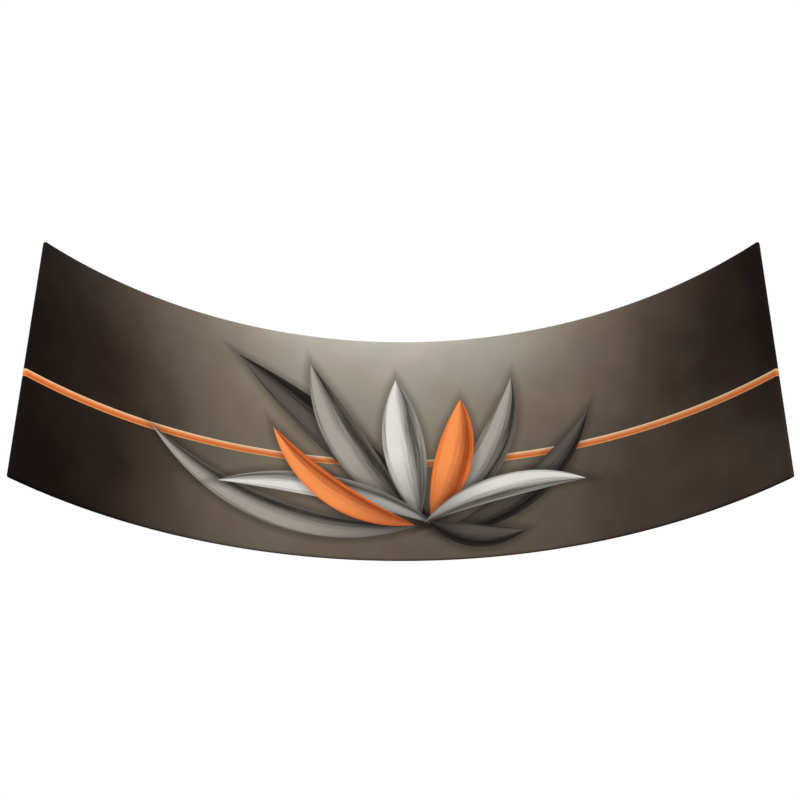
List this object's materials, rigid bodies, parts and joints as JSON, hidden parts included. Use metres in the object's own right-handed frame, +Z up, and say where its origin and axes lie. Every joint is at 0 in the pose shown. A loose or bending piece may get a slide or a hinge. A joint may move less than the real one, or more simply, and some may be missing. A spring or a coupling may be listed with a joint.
{
  "type": "curved fabric display backwall",
  "caption": "Curved free-standing display wall: bent tube frame with snap button joints inside a printed stretch fabric cover that zips along the rear.",
  "frame": {"origin": "bottom centre of the wall's own box, on the floor", "axes": "+Z up, +X along the wall's width, the hollow printed face looks to -Y"},
  "size_m": [6.1366, 1.5546, 2.3],
  "materials": {
    "printed_fabric": "matt dye printed stretch polyester",
    "back_fabric": "matt plain stretch polyester",
    "zip_tape": "woven tape",
    "zip_coil": "matt nylon",
    "zip_metal": "gunmetal plated",
    "frame_tube": "satin anodised",
    "cast_corner": "tumbled casting",
    "spigot_alloy": "mill finish",
    "rivet_alloy": "bright",
    "spring_steel": "blued spring steel",
    "button_steel": "nickel plated",
    "zinc_steel": "zinc plated",
    "eyelet_metal": "nickel plated",
    "bracket_steel": "satin black powder coat"
  },
  "bodies": {
    "frame": {"bottom_rail_1": "frame_tube", "bottom_rail_2": "frame_tube", "bottom_rail_3": "frame_tube", "bottom_rail_4": "frame_tube", "top_rail_1": "frame_tube", "top_rail_2": "frame_tube", "top_rail_3": "frame_tube", "top_rail_4": "frame_tube", "left_end_upright_lower": "frame_tube", "left_end_upright_upper": "frame_tube", "right_end_upright_lower": "frame_tube", "right_end_upright_upper": "frame_tube", "left_brace_lower": "frame_tube", "left_brace_upper": "frame_tube", "right_brace_lower": "frame_tube", "right_brace_upper": "frame_tube", "bottom_left_elbow": "cast_corner", "bottom_right_elbow": "cast_corner", "top_left_elbow": "cast_corner", "top_right_elbow": "cast_corner", "brace_stubs": "spigot_alloy", "bottom_rail_spigots": "spigot_alloy", "top_rail_spigots": "spigot_alloy", "upright_spigots": "spigot_alloy", "brace_spigots": "spigot_alloy", "blind_rivets": "rivet_alloy", "snap_springs": "spring_steel", "threaded_inserts": "zinc_steel", "cover_eyelets": "eyelet_metal", "lift_brackets": "bracket_steel", "lift_pins": "zinc_steel", "lift_screws": "zinc_steel", "front_panel": "printed_fabric", "back_panel": "back_fabric", "zip_tape_lower": "zip_tape", "zip_tape_upper": "zip_tape", "zip_teeth_lower": "zip_coil", "zip_teeth_upper": "zip_coil", "zip_stops": "zip_metal"},
    "snap_button_bottom_rail_left": {"snap_button_bottom_rail_left": "button_steel"},
    "snap_button_bottom_rail_middle": {"snap_button_bottom_rail_middle": "button_steel"},
    "snap_button_bottom_rail_right": {"snap_button_bottom_rail_right": "button_steel"},
    "snap_button_top_rail_left": {"snap_button_top_rail_left": "button_steel"},
    "snap_button_top_rail_middle": {"snap_button_top_rail_middle": "button_steel"},
    "snap_button_top_rail_right": {"snap_button_top_rail_right": "button_steel"},
    "snap_button_bottom_left_corner": {"snap_button_bottom_left_corner": "button_steel"},
    "snap_button_bottom_right_corner": {"snap_button_bottom_right_corner": "button_steel"},
    "snap_button_top_left_corner": {"snap_button_top_left_corner": "button_steel"},
    "snap_button_top_right_corner": {"snap_button_top_right_corner": "button_steel"},
    "snap_button_left_upright": {"snap_button_left_upright": "button_steel"},
    "snap_button_right_upright": {"snap_button_right_upright": "button_steel"},
    "lift_lug_left_end": {"lift_lug_left_end": "bracket_steel"},
    "lift_lug_left_middle": {"lift_lug_left_middle": "bracket_steel"},
    "lift_lug_right_middle": {"lift_lug_right_middle": "bracket_steel"},
    "lift_lug_right_end": {"lift_lug_right_end": "bracket_steel"},
    "zip_slider": {"zip_slider": "zip_metal"},
    "zip_pull": {"zip_pull": "zip_metal"}
  },
  "joints": [
    {"name": "press_bottom_rail_left", "type": "slide", "parent": "frame", "child": "snap_button_bottom_rail_left", "axis": [0, 0, -1], "range_m": [0, 0.006], "stiffness_N_per_m": 2500, "springref_m": -0.002, "deforming": ["snap_springs"]},
    {"name": "press_bottom_rail_middle", "type": "slide", "parent": "frame", "child": "snap_button_bottom_rail_middle", "axis": [0, 0, -1], "range_m": [0, 0.006], "stiffness_N_per_m": 2500, "springref_m": -0.002, "deforming": ["snap_springs"]},
    {"name": "press_bottom_rail_right", "type": "slide", "parent": "frame", "child": "snap_button_bottom_rail_right", "axis": [0, 0, -1], "range_m": [0, 0.006], "stiffness_N_per_m": 2500, "springref_m": -0.002, "deforming": ["snap_springs"]},
    {"name": "press_top_rail_left", "type": "slide", "parent": "frame", "child": "snap_button_top_rail_left", "axis": [0, 0, 1], "range_m": [0, 0.006], "stiffness_N_per_m": 2500, "springref_m": -0.002, "deforming": ["snap_springs"]},
    {"name": "press_top_rail_middle", "type": "slide", "parent": "frame", "child": "snap_button_top_rail_middle", "axis": [0, 0, 1], "range_m": [0, 0.006], "stiffness_N_per_m": 2500, "springref_m": -0.002, "deforming": ["snap_springs"]},
    {"name": "press_top_rail_right", "type": "slide", "parent": "frame", "child": "snap_button_top_rail_right", "axis": [0, 0, 1], "range_m": [0, 0.006], "stiffness_N_per_m": 2500, "springref_m": -0.002, "deforming": ["snap_springs"]},
    {"name": "press_bottom_left_corner", "type": "slide", "parent": "frame", "child": "snap_button_bottom_left_corner", "axis": [-0.6055, -0.7958, 0], "range_m": [0, 0.006], "stiffness_N_per_m": 2500, "springref_m": -0.002, "deforming": ["snap_springs"]},
    {"name": "press_bottom_right_corner", "type": "slide", "parent": "frame", "child": "snap_button_bottom_right_corner", "axis": [0.6055, -0.7958, 0], "range_m": [0, 0.006], "stiffness_N_per_m": 2500, "springref_m": -0.002, "deforming": ["snap_springs"]},
    {"name": "press_top_left_corner", "type": "slide", "parent": "frame", "child": "snap_button_top_left_corner", "axis": [-0.6055, -0.7958, 0], "range_m": [0, 0.006], "stiffness_N_per_m": 2500, "springref_m": -0.002, "deforming": ["snap_springs"]},
    {"name": "press_top_right_corner", "type": "slide", "parent": "frame", "child": "snap_button_top_right_corner", "axis": [0.6055, -0.7958, 0], "range_m": [0, 0.006], "stiffness_N_per_m": 2500, "springref_m": -0.002, "deforming": ["snap_springs"]},
    {"name": "press_left_upright", "type": "slide", "parent": "frame", "child": "snap_button_left_upright", "axis": [-0.6055, -0.7958, 0], "range_m": [0, 0.006], "stiffness_N_per_m": 2500, "springref_m": -0.002, "deforming": ["snap_springs"]},
    {"name": "press_right_upright", "type": "slide", "parent": "frame", "child": "snap_button_right_upright", "axis": [0.6055, -0.7958, 0], "range_m": [0, 0.006], "stiffness_N_per_m": 2500, "springref_m": -0.002, "deforming": ["snap_springs"]},
    {"name": "fold_lug_left_end", "type": "hinge", "parent": "frame", "child": "lift_lug_left_end", "pos_m": [-2.97939, -0.61916, 2.2797], "axis": [0.6362, 0.7715, 0], "range_deg": [0, 180]},
    {"name": "fold_lug_left_middle", "type": "hinge", "parent": "frame", "child": "lift_lug_left_middle", "pos_m": [-1.16626, 0.60535, 2.2797], "axis": [0.9533, 0.302, 0], "range_deg": [0, 180]},
    {"name": "fold_lug_right_middle", "type": "hinge", "parent": "frame", "child": "lift_lug_right_middle", "pos_m": [1.16626, 0.60535, 2.2797], "axis": [0.9533, -0.302, 0], "range_deg": [0, 180]},
    {"name": "fold_lug_right_end", "type": "hinge", "parent": "frame", "child": "lift_lug_right_end", "pos_m": [2.97939, -0.61916, 2.2797], "axis": [0.6362, -0.7715, 0], "range_deg": [0, 180]},
    {"name": "run_zip", "type": "hinge", "parent": "frame", "child": "zip_slider", "pos_m": [0, -3.07614, 0.062], "axis": [0, 0, 1], "range_deg": [0, 103.78]},
    {"name": "swing_pull", "type": "hinge", "parent": "zip_slider", "child": "zip_pull", "pos_m": [3.03453, -0.69585, 0.062], "axis": [0, 0, -1], "range_deg": [0, 180]}
  ]
}
